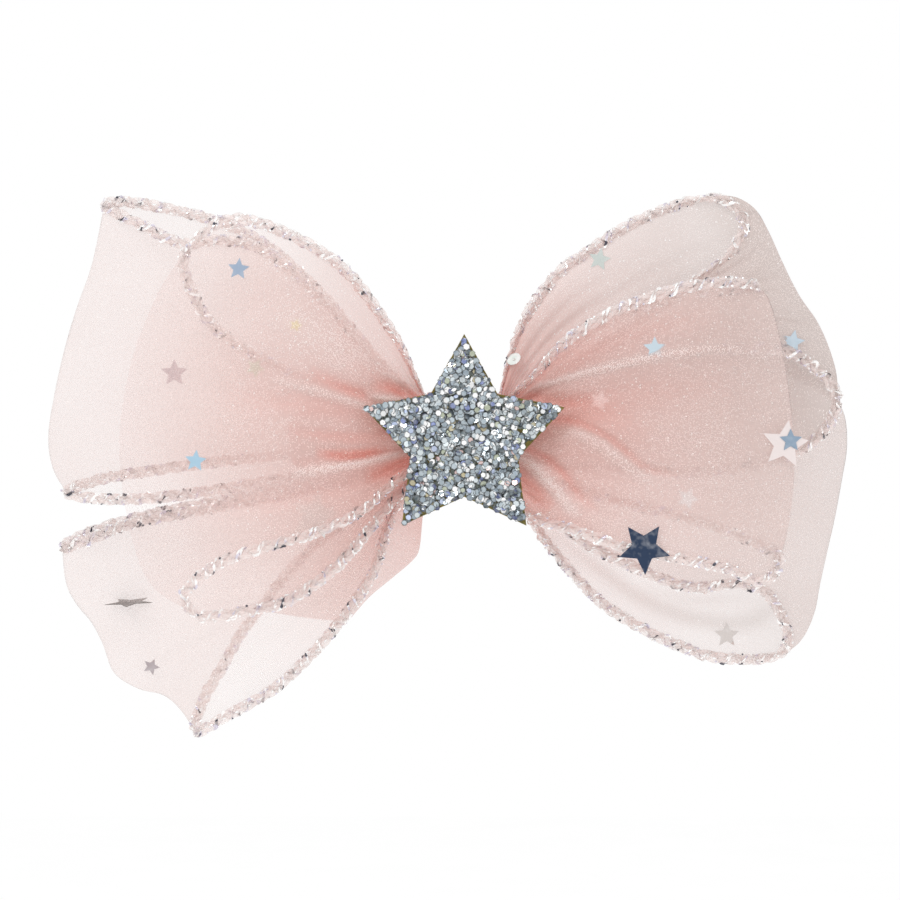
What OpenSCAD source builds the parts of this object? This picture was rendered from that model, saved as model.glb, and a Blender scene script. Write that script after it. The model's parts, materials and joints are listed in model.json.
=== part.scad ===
/* [Ribbon loops] */
// Diameter of the overlock braid along each ribbon edge
braid_d = 1.6; // [1.0:0.1:2.0]
// How far the front face of a front loop puffs forward
front_puff = 1.8; // [0.4:0.2:2.4]
// How far the faces of the rear loops puff
rear_puff = 0.7; // [0.2:0.1:0.8]

/* [Waist] */
// Width of the gathered waist along X
waist_w = 10.4; // [9:0.2:12]
// Height of the gathered waist along Z
waist_h = 11; // [9:0.5:12]
// Thickness of the centre band's ribbon
band_t = 0.6; // [0.4:0.1:0.8]
// Width of the centre band
band_w = 10; // [7:0.5:10]

/* [Glitter star] */
// Radius of the star's points
star_r = 14.3; // [12:0.1:16]
// Radius of the star's inner corners
star_inner_r = 7.7; // [6:0.1:9]
// Thickness of the star's foam backing
backing_t = 1.4; // [0.8:0.1:2]
// Thickness of the layer of glitter flakes
glitter_t = 1.6; // [0.8:0.1:2]
// How far the backing shows round the glitter
glitter_inset = 0.35; // [0.2:0.05:1]

/* [Clip] */
// Length of the clip's upper jaw
jaw_len = 42; // [40:1:46]
// Width of the clip's upper jaw
jaw_w = 8; // [7:0.5:9]
// Thickness of the clip's sheet metal
sheet_t = 0.8; // [0.6:0.1:1]
// Diameter of the hinge pin
pin_d = 1.6; // [1.2:0.1:1.8]
// Angle at which the squeezing tab stands out
tab_angle = 21; // [20:1:26]
// Diameter of the spring wire
wire_d = 0.5; // [0.4:0.05:0.6]

/* [Hidden] */

// Everything is in millimetres. The bow stands upright and faces -Y, with the
// hair between the clip's jaws on the plane y = 0.
steps = 24;       // rows of a ribbon loop, from its front root to its rear root
across = 8;       // columns of a ribbon loop, from its top edge to its bottom edge
braid_sides = 8;
clear = 0.2;      // gap between the two jaws at rest

// Depths of the stack at the waist, from the clip forward
cover_t = 0.4;
plate_y = -cover_t - sheet_t;
pad_front = -3.6;
waist_back = pad_front - 2 * band_t;
waist_front = -18.8;
band_front = waist_front - 2 * band_t;
glue_t = 0.8;
backing_front = band_front - glue_t - backing_t;

root = waist_w / 2;  // where the loops leave the waist

// Each loop: its two edges as [x, z] points from the front root, round the fold,
// to the rear root, the depth of the ribbon at those points, how far the fold
// bows outward between the edges, and how far the faces puff.
depth_front = [-18.6, -18.9, -21.8, -24, -20.5, -17.9, -17.4, -16.2, -14.8];
depth_upper = [-14, -14, -14, -13.8, -11.8, -9.9, -9.5, -9.6, -9.7];
depth_lower = [-9.1, -8, -7.3, -7, -4.8, -2.8, -2.8, -4.4, -5];

left_front = [
    [[-root, 5.2], [-9, 13.6], [-17.6, 24], [-28, 29], [-37.3, 25.5], [-35, 17], [-27, 11],
     [-14, 7], [-root, 4.6]],
    [[-root, -3.5], [-13.8, -9.5], [-24, -13.5], [-33, -16.8], [-37.3, -21.8], [-30, -23.2],
     [-21.6, -20.3], [-13, -11.5], [-root, -5]],
    depth_front, [-9, 0], front_puff];
left_upper = [
    [[-root, 5], [-14, 13], [-26, 21.5], [-41, 28.5], [-49.2, 32], [-41, 31.5], [-28, 26.5],
     [-15, 17], [-root, 5.3]],
    [[-root, -1], [-23.5, -5.1], [-37, -7.4], [-47, -8.1], [-54.3, -7.2], [-47, -4.9], [-34, -3],
     [-18, -1], [-root, 0]],
    depth_upper, [-3.5, 0], rear_puff];
left_lower = [
    [[-root, -2], [-18, -6], [-33, -9], [-47, -12.4], [-55.6, -14.8], [-46, -11.5], [-32, -8],
     [-17, -5], [-root, -1.5]],
    [[-root, -5], [-14, -13], [-25, -20.5], [-32.5, -29], [-37, -40.3], [-27, -34.6], [-17, -26],
     [-10, -18], [-root, -5.4]],
    depth_lower, [-2.8, -2.1], rear_puff];
right_front = [
    [[root, 5.2], [9.6, 8.8], [18.4, 16.5], [29.2, 20.5], [38.5, 20.5], [30, 17.5], [18, 13.5],
     [10, 8], [root, 4.5]],
    [[root, -5.4], [9.2, -10.4], [20.8, -14.2], [33, -16.6], [41.9, -18.2], [36, -12.6], [22, -9],
     [11, -6.5], [root, -4.5]],
    depth_front, [3.7, 0], front_puff];
right_upper = [
    [[root, 4.8], [12, 9], [22, 15], [33, 22.6], [38.2, 30], [28, 31.8], [17, 25.9],
     [8.9, 17.6], [root, 5.4]],
    [[root, 1], [14, 7.6], [28, 11.3], [43, 12.2], [51, 6], [45, -2], [30, -4],
     [14, -3], [root, -1]],
    depth_upper, [1.8, 1], rear_puff];
right_lower = [
    [[root, -1], [14, 1], [28, 4], [42, 6.4], [51.2, 6.2], [42, 2.5], [28, 0],
     [14, -1], [root, -2]],
    [[root, -4.5], [16, -13], [27, -19.5], [40, -19.9], [44.8, -27.6], [36, -30.2], [24, -25.8],
     [12.2, -15], [root, -5.4]],
    depth_lower, [3.6, 0], rear_puff];

// Foil stars: [loop, place from root to root, place from edge to edge, radius]
foil_left = [
    [left_front, 0.33, 0.18, 1.5], [left_upper, 0.42, 0.40, 1.9], [left_front, 0.36, 0.50, 1.4],
    [left_front, 0.43, 0.73, 1.5], [left_front, 0.20, 0.86, 3.2], [left_lower, 0.45, 0.40, 2.6],
    [left_lower, 0.43, 0.80, 1.2]];
foil_right = [
    [right_front, 0.27, 0.12, 1.5], [right_front, 0.20, 0.22, 1.4], [right_front, 0.45, 0.55, 3.1],
    [right_upper, 0.45, 0.55, 1.6], [right_front, 0.24, 0.93, 3.4], [right_front, 0.33, 0.83, 1.4],
    [right_lower, 0.42, 0.88, 1.7], [right_upper, 0.77, 0.08, 1.5]];
foil_t = 0.3;

// Point on an evenly spaced Catmull-Rom curve through p, for u from 0 to len(p) - 1
function on_curve(p, u) =
    let (last = len(p) - 1,
         i = min(floor(u), last - 1),
         f = u - i,
         a = p[max(i - 1, 0)],
         b = p[i],
         c = p[i + 1],
         d = p[min(i + 2, last)])
    b + f / 2 * (c - a + f * (2 * a - 5 * b + 4 * c - d + f * (3 * b - 3 * c + d - a)));

// Point of a loop's ribbon: s runs from root to root, t from the top edge to the bottom
function on_loop(loop, s, t) =
    let (u = s * (len(loop[2]) - 1),
         top = on_curve(loop[0], u),
         bottom = on_curve(loop[1], u),
         middle = 4 * t * (1 - t),
         bow = middle * pow(sin(180 * s), 4),
         flat = top * (1 - t) + bottom * t + loop[3] * bow,
         side = sin(360 * s),
         puff = loop[4] * middle * side * (side > 0 ? side : 0.6))
    [flat[0], on_curve(loop[2], u) - puff, flat[1]];

function unit(v) = v / norm(v);
function turned(n, t) = unit(n - (n * t) * t);
function way(p, i) = unit(p[min(i + 1, len(p) - 1)] - p[max(i - 1, 0)]);

// A frame's normal at each point of a path, carried along without twist
function normals(p) =
    [for (i = 0, n = turned([0.2, 1, 0.3], way(p, 0)); i < len(p);
          i = i + 1, n = i < len(p) ? turned(n, way(p, i)) : n) n];

// A round tube of radius r swept along the points p
module tube(p, r, sides) {
    n = normals(p);
    rings = len(p);
    points = [for (i = [0:rings - 1], k = [0:sides - 1])
        let (a = 360 * k / sides, side = cross(way(p, i), n[i]))
        p[i] + r * (cos(a) * n[i] + sin(a) * side)];
    wall = [for (i = [0:rings - 2], k = [0:sides - 1])
        let (a = i * sides + k,
             b = i * sides + (k + 1) % sides)
        each [[a, a + sides, b], [b, a + sides, b + sides]]];
    start = [for (k = [0:sides - 1]) k];
    end = [for (k = [sides - 1:-1:0]) (rings - 1) * sides + k];
    polyhedron(points, concat(wall, [start, end]), convexity = 6);
}

// A ribbon loop as one plain solid: the space between its two layers of ribbon
module loop_solid(loop) {
    rows = steps;
    cols = across;
    wide = cols + 1;
    points = [for (i = [0:rows], j = [0:cols]) on_loop(loop, i / rows, j / cols)];
    skin = [for (i = [0:rows - 1], j = [0:cols - 1])
        let (a = i * wide + j, b = a + wide)
        each [[a, b, b + 1], [a, b + 1, a + 1]]];
    top = [for (i = [0:rows / 2 - 1])
        let (a = i * wide, b = (rows - i) * wide)
        each (i == rows / 2 - 1
            ? [[a + wide, a, b]]
            : [[a + wide, a, b], [a + wide, b, b - wide]])];
    bottom = [for (i = [0:rows / 2 - 1])
        let (a = i * wide + cols, b = (rows - i) * wide + cols)
        each (i == rows / 2 - 1
            ? [[a, a + wide, b]]
            : [[a, a + wide, b], [a + wide, b - wide, b]])];
    root = [for (j = [0:cols - 1])
        let (a = j, b = rows * wide + j)
        each [[a, a + 1, b + 1], [a, b + 1, b]]];
    faces = concat(skin, top, bottom, root);
    mirrored = loop[0][4][0] > 0;
    polyhedron(points,
        mirrored ? faces : [for (f = faces) [f[2], f[1], f[0]]],
        convexity = 8);
}

// The two braided edges of a loop's ribbon
module loop_edging(loop) {
    hide = 0.06;  // share of each end that is lost in the gathers
    for (t = [0, 1])
        tube([for (i = [0:steps])
            on_loop(loop, hide + (1 - 2 * hide) * i / steps, t)], braid_d / 2, braid_sides);
}

module star(outer, inner) {
    polygon([for (k = [0:9])
        let (r = k % 2 == 0 ? outer : inner, a = 90 + 36 * k)
        r * [cos(a), sin(a)]]);
}

// Stands a flat shape up in the XZ plane, from depth y towards +Y by t
module upright(y, t) {
    translate([0, y + t, 0])
        rotate([90, 0, 0])
            linear_extrude(t)
                children();
}

module foil_star(spot) {
    at = on_loop(spot[0], spot[1], spot[2]);
    translate([at[0], 0, at[2]])
        upright(at[1] - foil_t * 0.8, foil_t)
            star(spot[3], spot[3] * 0.45);
}

module rounded(size, r) {
    hull()
        for (x = [-1, 1], y = [-1, 1])
            translate([x * (size[0] / 2 - r), y * (size[1] / 2 - r)])
                circle(r = r, $fn = 32);
}

// Section of the waist across X: depth along x, height along y
module waist_section(grow) {
    depth = waist_back - waist_front;
    translate([(waist_back + waist_front) / 2, 0])
        rounded([depth + 2 * grow, waist_h + 2 * grow], 3 + grow);
}

// Stretches a section drawn as [depth, height] along X, centred on the waist
module along_x(w) {
    translate([-w / 2, 0, 0])
        rotate([90, 0, 90])
            linear_extrude(w)
                children();
}

module loop_left_front() { color("mistyrose") loop_solid(left_front); }
module loop_left_upper() { color("mistyrose") loop_solid(left_upper); }
module loop_left_lower() { color("mistyrose") loop_solid(left_lower); }
module loop_right_front() { color("mistyrose") loop_solid(right_front); }
module loop_right_upper() { color("mistyrose") loop_solid(right_upper); }
module loop_right_lower() { color("mistyrose") loop_solid(right_lower); }

module edging_left_front() { color("pink") loop_edging(left_front); }
module edging_left_upper() { color("pink") loop_edging(left_upper); }
module edging_left_lower() { color("pink") loop_edging(left_lower); }
module edging_right_front() { color("pink") loop_edging(right_front); }
module edging_right_upper() { color("pink") loop_edging(right_upper); }
module edging_right_lower() { color("pink") loop_edging(right_lower); }

module foil_stars_left() { color("silver") for (spot = foil_left) foil_star(spot); }
module foil_stars_right() { color("silver") for (spot = foil_right) foil_star(spot); }

// A round cupped sequin stitched by its middle near the waist
module sequin() {
    color("white")
        translate([7.2, -10.3, 10.6])
            rotate([90, 0, 0])
                difference() {
                    cylinder(r = 1, h = 0.3, $fn = 32);
                    translate([0, 0, -1])
                        cylinder(r = 0.2, h = 3, $fn = 16);
                }
}

// The ribbon's six crossings, pinched into pleats
module waist_gather() {
    pleats = 9;
    groove = 0.35;
    color("lightpink")
        along_x(waist_w)
            difference() {
                waist_section(0);
                for (k = [0:pleats - 1], side = [-1, 1])
                    translate([waist_front + 3 + k * (waist_back - waist_front - 6) / (pleats - 1),
                               side * waist_h / 2])
                        circle(r = groove, $fn = 16);
            }
}

// Turns of thread drawn tight round the gathers
module binding_thread() {
    turns = 3;
    thread_d = band_t;
    color("white")
        for (k = [0:turns - 1])
            translate([(k - (turns - 1) / 2) * 1.5 * thread_d, 0, 0])
                along_x(thread_d)
                    difference() {
                        waist_section(thread_d);
                        waist_section(0);
                    }
}

// A strip of ribbon wrapped over the thread and sewn to itself at the back
module centre_band() {
    color("pink")
        along_x(band_w)
            difference() {
                waist_section(2 * band_t);
                waist_section(band_t);
            }
}

module star_glue() {
    color("ivory")
        upright(band_front - glue_t, glue_t)
            circle(r = 4, $fn = 48);
}

module star_backing() {
    color("darkkhaki")
        upright(backing_front, backing_t)
            star(star_r, star_inner_r);
}

module star_glitter() {
    color("lightsteelblue")
        upright(backing_front - glitter_t, glitter_t)
            star(star_r - 2.2 * glitter_inset, star_inner_r - glitter_inset);
}

// The clip lies along X behind the waist, with its mouth towards -X
pin_x = 9;
pin_y = 1.9;
tip_x = pin_x + 9 - jaw_len;
ear_r = 1.9;
ear_in = 3.2;          // inner face of the upper jaw's ears
lower_ear_in = 2.4;
lower_t = 0.6;
running = 0.05;        // radial clearance of the lower jaw on the pin

module felt_pad() {
    color("mistyrose")
        upright(pad_front, plate_y - cover_t - pad_front)
            rounded([22, 9.4], 4);
}

// The ribbon glued round the upper jaw, from its tip to its ears
module clip_cover() {
    cover_end = pin_x - ear_r - 1;
    color("pink")
        difference() {
            translate([(tip_x - cover_t + cover_end) / 2, 0, 0])
                upright(plate_y - cover_t, sheet_t + 2 * cover_t)
                    rounded([cover_end - tip_x + cover_t, jaw_w + 2 * cover_t], 2.9);
            translate([tip_x + jaw_len / 2, 0, 0])
                upright(plate_y, sheet_t)
                    rounded([jaw_len, jaw_w], 2.5);
            translate([cover_end - 3, -5, -10])
                cube([20, 10, 20]);
        }
}

module bored_ear(z, t, r, bore) {
    translate([0, 0, z])
        linear_extrude(t)
            difference() {
                union() {
                    translate([pin_x, pin_y]) circle(r = r, $fn = 48);
                    children();
                }
                translate([pin_x, pin_y]) circle(d = bore, $fn = 48);
            }
}

module clip_upper_jaw() {
    color("silver") {
        translate([tip_x + jaw_len / 2, 0, 0])
            upright(plate_y, sheet_t)
                rounded([jaw_len, jaw_w], 2.5);
        for (side = [0, 1])
            mirror([0, 0, side])
                bored_ear(ear_in, jaw_w / 2 - ear_in, ear_r, pin_d)
                    translate([pin_x - ear_r, plate_y + sheet_t / 2])
                        square([2 * ear_r, pin_y - plate_y - sheet_t / 2]);
    }
}

module clip_lower_jaw() {
    plate_w = 2 * lower_ear_in + 2 * lower_t;
    jaw_x = tip_x + 0.6;
    jaw_y = pin_y - 0.2;
    neck_x = pin_x - 2.1;
    tab_x = pin_x + 2.1;
    tab_len = 8.6;
    tooth_pitch = 1.5;
    teeth = 9;
    color("silver") {
        translate([(jaw_x + neck_x) / 2, 0, 0])
            upright(jaw_y, lower_t)
                rounded([neck_x - jaw_x, plate_w], 2);
        // Teeth turned down along both sides, from the tip backward
        for (side = [0, 1], k = [0:teeth - 1])
            mirror([0, 0, side])
                translate([jaw_x + 2.4 + k * tooth_pitch, 0, plate_w / 2 - lower_t])
                    linear_extrude(lower_t)
                        polygon([[0, jaw_y + 0.2], [tooth_pitch * 0.5, clear],
                                 [tooth_pitch, jaw_y + 0.2]]);
        // Ears that ride on the pin, inside the upper jaw's ears
        for (side = [0, 1])
            mirror([0, 0, side])
                bored_ear(lower_ear_in, lower_t, 1.5, pin_d + 2 * running)
                    translate([neck_x - 4, jaw_y])
                        square([tab_x - neck_x + 5, lower_t + 0.4]);
        // Tab that the thumb squeezes, bent away from the upper jaw
        translate([tab_x, jaw_y, 0])
            rotate([0, 0, tab_angle]) {
                translate([0, 0, -plate_w / 2])
                    cube([tab_len / 2, lower_t, plate_w]);
                translate([tab_len / 2 + 1, lower_t, 0])
                    rotate([90, 0, 0])
                        linear_extrude(lower_t)
                            rounded([tab_len - 1, jaw_w], 2);
            }
    }
}

module hinge_pin() {
    head_t = 0.5;
    color("gainsboro")
        translate([pin_x, pin_y, 0]) {
            cylinder(d = pin_d, h = jaw_w, center = true, $fn = 48);
            for (side = [0, 1])
                mirror([0, 0, side])
                    translate([0, 0, jaw_w / 2])
                        cylinder(r = 1.2, h = head_t, $fn = 48);
        }
}

// Coil round the pin, with one arm on each tab
module torsion_spring() {
    turns = 5;
    per_turn = 10;
    coil_r = 1.4;
    half = 1.5;
    arm = 5.5;
    count = turns * per_turn;
    coil = [for (i = [0:count])
        let (f = i / count, a = -90 + f * (360 * turns + 180 + tab_angle))
        [pin_x + coil_r * cos(a), pin_y + coil_r * sin(a), -half + 2 * half * f]];
    low_end = [pin_x + arm, plate_y + sheet_t + wire_d / 2 + 0.1, -half];
    high_end = [pin_x + coil_r * cos(90 + tab_angle) + arm * cos(tab_angle),
                pin_y + coil_r * sin(90 + tab_angle) + arm * sin(tab_angle) - 0.9, half];
    color("dimgray")
        tube(concat([low_end], coil, [high_end]), wire_d / 2, 8);
}

loop_left_front();
loop_left_upper();
loop_left_lower();
loop_right_front();
loop_right_upper();
loop_right_lower();
edging_left_front();
edging_left_upper();
edging_left_lower();
edging_right_front();
edging_right_upper();
edging_right_lower();
foil_stars_left();
foil_stars_right();
sequin();
waist_gather();
binding_thread();
centre_band();
star_glue();
star_backing();
star_glitter();
felt_pad();
clip_cover();
clip_upper_jaw();
clip_lower_jaw();
hinge_pin();
torsion_spring();
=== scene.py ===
"""A sheer ribbon hair bow with braided edges, foil stars and a glitter star, on a sprung clip.

Lengths are in millimetres until a mesh is made. The bow faces -Y, +X is right and +Z is up.
"""
import json
import math
import random
import bpy
import numpy as np
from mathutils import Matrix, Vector, noise
from mathutils.bvhtree import BVHTree


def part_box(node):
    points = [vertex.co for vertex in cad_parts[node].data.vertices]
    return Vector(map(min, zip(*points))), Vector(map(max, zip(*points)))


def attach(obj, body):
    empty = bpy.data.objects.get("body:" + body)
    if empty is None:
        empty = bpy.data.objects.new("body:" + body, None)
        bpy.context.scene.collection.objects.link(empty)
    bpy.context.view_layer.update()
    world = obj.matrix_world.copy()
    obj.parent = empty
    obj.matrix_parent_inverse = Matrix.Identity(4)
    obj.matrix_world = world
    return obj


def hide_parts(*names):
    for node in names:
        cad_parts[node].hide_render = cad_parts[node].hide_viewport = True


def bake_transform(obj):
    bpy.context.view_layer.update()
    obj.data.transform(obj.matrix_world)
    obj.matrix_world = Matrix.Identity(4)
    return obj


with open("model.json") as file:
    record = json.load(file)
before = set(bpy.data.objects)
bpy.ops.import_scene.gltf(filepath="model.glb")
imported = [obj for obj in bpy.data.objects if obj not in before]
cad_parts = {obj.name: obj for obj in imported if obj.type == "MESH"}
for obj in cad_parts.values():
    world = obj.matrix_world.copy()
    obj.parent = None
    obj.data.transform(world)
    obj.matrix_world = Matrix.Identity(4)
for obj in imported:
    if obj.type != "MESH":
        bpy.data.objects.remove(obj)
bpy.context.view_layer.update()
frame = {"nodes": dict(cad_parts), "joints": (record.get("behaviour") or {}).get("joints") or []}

MM = 0.001
BOW = "bow"

# ---------------------------------------------------------------- ribbon sizes

RIBBON_W = 38.0        # flat width of the ribbon, as much as its pleated mesh holds
ROWS = 220             # grid rows of a loop, from its front root to its rear root
FOLD_ROW = ROWS // 2   # the row at the fold, where the rear layer starts
COLS = 132             # grid columns, from the top edge to the bottom edge
ROOT_X = 4.6           # the loops come out of the waist here
YARN_R = 0.30
YARN_SIDES = 7
BRAID_W = 0.52         # half the sideways swing of a braid's strands
BRAID_H = 0.17         # half their swing out of the ribbon's plane
BEAD_R = 0.17
GLINT_R = 0.2          # half the width of a flat metallic thread
BEAD_GAP = 1.2         # mean distance between beads along each side of a braid
BRAID_STEP = 0.24      # distance between a braid's rings of points
BRAID_PITCH = 6.0
GLINT_PITCH = 2.6      # the metallic threads wind round more tightly than the yarns
SPAN = 24              # samples from each point of a curve to the next

# Depth of each tier of loops, evenly spaced from front root, round the fold, to rear root
DEPTH = {
    "front": [-18.4, -18.9, -21.8, -23.6, -20.5, -17.9, -17.4, -16.2, -14.9],
    "upper": [-14.0, -14.0, -14.0, -13.7, -11.8, -10.0, -9.6, -9.6, -9.7],
    "lower": [-9.1, -8.0, -7.3, -6.9, -4.9, -2.9, -2.9, -4.4, -5.0],
}

# Pleats fan out from the waist: how many across the ribbon, how deep, and how far they reach
FRONT_PLEATS = [(2.3, 0.6, 27), (3.7, 0.45, 18), (5.1, 0.33, 13), (7.3, 0.25, 10), (10.7, 0.2, 8),
                (14.3, 0.16, 7)]
REAR_PLEATS = [(2.3, 0.7, 27), (3.7, 0.5, 18), (5.1, 0.4, 15), (7.3, 0.45, 15), (10.7, 0.58, 14),
               (14.3, 0.56, 12)]

# Each loop's edges as [x, z] points: the front layer's from root to fold, then the
# point at the fold, then the rear layer's from fold to root.
# The veil values are extra cover at the front layer, the fold and the rear layer; where positive
# they also grey the cloth as painted shade
LOOPS = {
    "left_front": dict(
        tier="front", puff=1.8, seed=3, veil_and_shade=(0.19, -0.22, 0.02),
        pinch=(0.45, 0.8, 1, 0), pleat=(1, 0.8),
        fold=[(-38.6, 23.6), (-41.4, 19.2), (-44.4, 11.6), (-46.2, 2), (-46.0, -6), (-44.4, -14),
              (-42.4, -18.6)],
        top=([(-4.6, 4.4), (-6.4, 8.0), (-9.2, 13.8), (-14.9, 21.7), (-20.1, 25.8), (-27.5, 29.0),
              (-32.5, 29.2)], (-37.4, 25.2),
             [(-36.9, 20.6), (-33.1, 14.7), (-24, 9.5), (-14, 6.5), (-4.6, 3.6)]),
        bottom=([(-4.6, -2.6), (-9.0, -5.3), (-13.8, -9.5), (-19.7, -12.3), (-26.7, -14.3),
                 (-32.5, -16.4), (-36.6, -19.4)], (-37.6, -21.6),
                [(-35.4, -23.7), (-30, -23.2), (-23.8, -21.7), (-16.7, -16.6), (-10.1, -8.8),
                 (-4.6, -3.8)])),
    "left_upper": dict(
        tier="upper", puff=0.7, seed=5, veil_and_shade=(0.03, 0.0, 0.08),
        pinch=(0.5, 0.5, 0, 1), pleat=(1, 0.7),
        fold=[(-50.1, 27.4), (-51.1, 23.2), (-52.9, 18.2), (-54.5, 12.8), (-55.9, 6.6), (-56.8, 0.6),
              (-56.2, -3.8)],
        top=([(-4.6, 3.8), (-12, 10.9), (-20, 19.9), (-27.4, 25.9), (-33, 27.2), (-38.4, 26.8),
              (-44, 29.4), (-47.6, 31.1)], (-49.2, 32.2),
             [(-45.1, 32.5), (-35, 30.4), (-27.8, 27.2), (-20.1, 20.6), (-12, 11.2), (-4.6, 4.2)]),
        bottom=([(-4.6, -1.6), (-14, -3.4), (-23.5, -5.1), (-37.7, -7.4), (-46.4, -8.1),
                 (-52, -7.8)], (-54.4, -7.1),
                [(-51.2, -5.8), (-46.2, -4.7), (-34, -3), (-18, -1.4), (-4.6, -0.6)])),
    "left_lower": dict(
        tier="lower", puff=0.6, seed=8, veil_and_shade=(0.0, 0.0, -0.03),
        pinch=(0.5, 0.8, 1, 1), pleat=(1.25, 1.0),
        fold=[(-55.1, -19.8), (-53.6, -22.8), (-51.6, -25.2), (-50.0, -28.2), (-48.4, -32.2),
              (-45.1, -34.4), (-41.7, -35.3), (-39.4, -37.2)],
        roll=[(-36, -37.4), (-29, -34.8), (-22.1, -31.3), (-18.6, -28.6), (-16.1, -25.3),
              (-13.2, -21.9), (-10.0, -19.2), (-7.0, -16.6), (-6.1, -14.8), (-5.6, -10),
              (-4.6, -4.2)],
        top=([(-4.6, -1.4), (-18, -6), (-33, -9), (-45.8, -11.5), (-52.5, -14.0)], (-55.7, -14.9),
             [(-52, -12.8), (-44, -10.4), (-32, -8), (-17, -4.6), (-4.6, -1.2)]),
        bottom=([(-4.6, -3.6), (-9.5, -9.5), (-12.6, -18.4), (-18.1, -26.3), (-25.4, -33.7),
                 (-32.9, -38.2)], (-37.2, -40.4),
                [(-36, -35.8), (-33.6, -31.7), (-29.6, -25), (-20, -14), (-4.6, -4.2)])),
    "right_front": dict(
        tier="front", puff=1.8, seed=13, veil_and_shade=(0.15, 0.16, 0.06),
        pinch=(0.5, 0.85, 1, 1), pleat=(1, 1),
        fold=[(41.0, 18.9), (42.3, 14.6), (43.4, 8.6), (44.1, 2.7), (44.4, -3.4), (44.0, -8.4),
              (43.2, -13.0)],
        top=([(4.6, 4.4), (9.6, 8.8), (13, 12.6), (18.4, 16.3), (23.8, 18.7), (29.2, 20.3),
              (35.2, 21.1)], (39.6, 20.6),
             [(36, 20.3), (29.2, 19.6), (18.4, 15.4), (10, 8.2), (4.6, 3.8)]),
        bottom=([(4.6, -4.0), (9.2, -10.2), (15.3, -12.2), (20.8, -14.2), (25.1, -15.1),
                 (35.2, -17.2), (39.4, -19)], (41.9, -17.6),
                [(42.0, -15.4), (37.9, -13.4), (30, -10.6), (18, -7.6), (4.6, -3.2)])),
    "right_upper": dict(
        tier="upper", puff=0.7, seed=21, veil_and_shade=(0.26, 0.44, 0.30),
        pinch=(0.5, 0.5, 0, 1), pleat=(1.9, 0.6),
        fold=[(40.0, 31.0), (41.6, 28.6), (43.5, 24.4), (45.8, 19.8), (48.3, 16.0), (50.0, 12.2),
              (51.0, 8.6)],
        top=([(4.6, 3.6), (12, 9), (22, 15.6), (30, 20.6), (34.8, 24), (37.4, 27)], (38.2, 30.2),
             [(35.6, 32.8), (31.9, 33), (26.5, 31.3), (21.1, 28.6), (17, 25.9), (13, 23),
              (8.9, 17.6), (6.4, 11.8), (4.6, 4.4)]),
        bottom=([(4.6, 1.0), (10.3, 6.4), (15.9, 8.2), (24.2, 10.7), (32.4, 12), (42.8, 12.4),
                 (48.7, 9.2)], (51, 5.6),
                [(49.4, 1.4), (44.7, -2), (34, -4.4), (16, -3.4), (4.6, -0.6)])),
    "right_lower": dict(
        tier="lower", puff=0.6, seed=34, veil_and_shade=(0.10, 0.20, 0.04),
        pinch=(0.5, 0.7, 1, 0), pleat=(1, 0.7),
        fold=[(52.8, 3.2), (53.1, -1), (52.4, -5.4), (51.4, -10.8), (50.5, -14.9), (49.5, -19.4),
              (48.6, -23.6), (47.0, -26.4)],
        top=([(4.6, 0.6), (15, 7.2), (24, 10.2), (33, 11.7), (42.5, 11.9), (48.4, 8.9)],
             (51.4, 6.1),
             [(48.0, 8.3), (41.5, 11.1), (32, 10.9), (22, 8.8), (12, 4.8), (4.6, 0.2)]),
        bottom=([(4.6, -3.0), (14, -12.2), (21.5, -16.6), (30.8, -20.2), (37.7, -19.8),
                 (42.1, -21.4)], (44.9, -27.2),
                [(42.8, -30.1), (35.2, -30.2), (29.7, -28.5), (24.2, -25.8), (18.6, -22.1),
                 (12.2, -15), (8, -9), (4.6, -4)])),
}
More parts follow.
